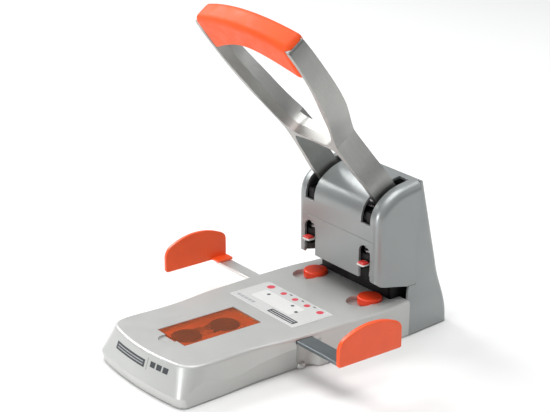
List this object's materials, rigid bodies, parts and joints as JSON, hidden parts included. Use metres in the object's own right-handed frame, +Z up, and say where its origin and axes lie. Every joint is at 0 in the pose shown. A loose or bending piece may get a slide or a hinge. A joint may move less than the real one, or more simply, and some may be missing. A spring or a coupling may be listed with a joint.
{
  "type": "two-hole desk paper punch",
  "caption": "Heavy-duty desk paper punch with a ring-shaped lever handle, hollow punches, turnable cutting discs and pull-out paper guides.",
  "frame": {"origin": "on the desk, under the centre of the object's box", "axes": "+X to the user's right across both punches, +Y from the front of the base to the tower, +Z up"},
  "size_m": [0.266, 0.3131, 0.3162],
  "materials": {
    "cover_silver": "satin silver paint",
    "tower_grey": "fine metallic paint",
    "handle_alu": "satin brushed",
    "grip_orange": "soft matt",
    "guide_orange": "smooth moulded",
    "disc_orange": "smooth moulded",
    "lid_tint": "tinted see-through plastic",
    "frame_black": "black",
    "steel": "bright",
    "bar_steel": "dull",
    "bronze": "oiled",
    "black_plastic": "moulded",
    "rubber_black": "matt",
    "clip_white": "moulded",
    "clip_red": "moulded",
    "label": "printed film",
    "spare_brown": "moulded",
    "tray_grey": "moulded"
  },
  "bodies": {
    "stand": {"base_cover": "cover_silver", "base_plate": "frame_black", "base_screws": "steel", "rubber_feet": "rubber_black", "storage_tray": "tray_grey", "spare_cutting_discs": "spare_brown", "spare_disc_clip": "clip_white", "instruction_label": "label", "guide_rails": "black_plastic", "disc_seats": "cover_silver", "anvil_bar": "frame_black", "right_frame_plate": "frame_black", "left_frame_plate": "frame_black", "frame_back_plate": "frame_black", "frame_bolts": "frame_black", "paper_stop": "frame_black", "punch_guide_block": "frame_black", "handle_stop_bar": "rubber_black", "pivot_axle": "steel", "axle_clips": "steel", "front_shield": "tower_grey", "rear_cover": "tower_grey", "cover_screws": "frame_black"},
    "handle": {"handle_frame": "handle_alu", "handle_grip": "grip_orange", "right_drive_lever": "frame_black", "left_drive_lever": "frame_black", "lever_rivets": "frame_black", "drive_pins": "steel", "pivot_bushes": "bronze"},
    "left_punch_unit": {"left_punch_holder": "frame_black", "left_punch": "steel", "left_punch_clip": "clip_white", "left_clip_tab": "clip_red", "left_return_spring": "steel"},
    "right_punch_unit": {"right_punch_holder": "frame_black", "right_punch": "steel", "right_punch_clip": "clip_white", "right_clip_tab": "clip_red", "right_return_spring": "steel"},
    "left_disc": {"left_cutting_disc": "disc_orange"},
    "right_disc": {"right_cutting_disc": "disc_orange"},
    "left_guide": {"left_guide_plate": "guide_orange", "left_guide_bar": "steel", "left_guide_screws": "steel"},
    "right_guide": {"right_guide_plate": "guide_orange", "right_guide_bar": "bar_steel", "right_guide_screws": "steel"},
    "lid": {"storage_lid": "lid_tint", "lid_hinge_pins": "steel"}
  },
  "joints": [
    {"name": "handle_pivot", "type": "hinge", "parent": "stand", "child": "handle", "pos_m": [0, 0.1115, 0.11], "axis": [1, 0, 0], "range_deg": [0, 30], "stiffness_Nm_per_rad": 1.6, "springref_deg": -45.84},
    {"name": "left_punch_slide", "type": "slide", "parent": "stand", "child": "left_punch_unit", "axis": [0, 0, -1], "range_m": [0, 0.01727], "deforming": ["left_return_spring"]},
    {"name": "right_punch_slide", "type": "slide", "parent": "stand", "child": "right_punch_unit", "axis": [0, 0, -1], "range_m": [0, 0.01727], "deforming": ["right_return_spring"]},
    {"name": "left_disc_turn", "type": "hinge", "parent": "stand", "child": "left_disc", "pos_m": [-0.04, 0.0769, 0.035], "axis": [0, 0, 1], "continuous": true},
    {"name": "right_disc_turn", "type": "hinge", "parent": "stand", "child": "right_disc", "pos_m": [0.04, 0.0769, 0.035], "axis": [0, 0, 1], "continuous": true},
    {"name": "left_guide_slide", "type": "slide", "parent": "stand", "child": "left_guide", "axis": [-1, 0, 0], "range_m": [-0.027, 0.021]},
    {"name": "right_guide_slide", "type": "slide", "parent": "stand", "child": "right_guide", "axis": [1, 0, 0], "range_m": [-0.027, 0.021]},
    {"name": "lid_hinge", "type": "hinge", "parent": "stand", "child": "lid", "pos_m": [0, -0.0355, 0.034], "axis": [-1, 0, 0], "range_deg": [0, 100]}
  ],
  "couplings": [
    {"joint": "left_punch_slide", "follows": "handle_pivot", "m_per_rad": 0.032792},
    {"joint": "right_punch_slide", "follows": "handle_pivot", "m_per_rad": 0.032792}
  ]
}
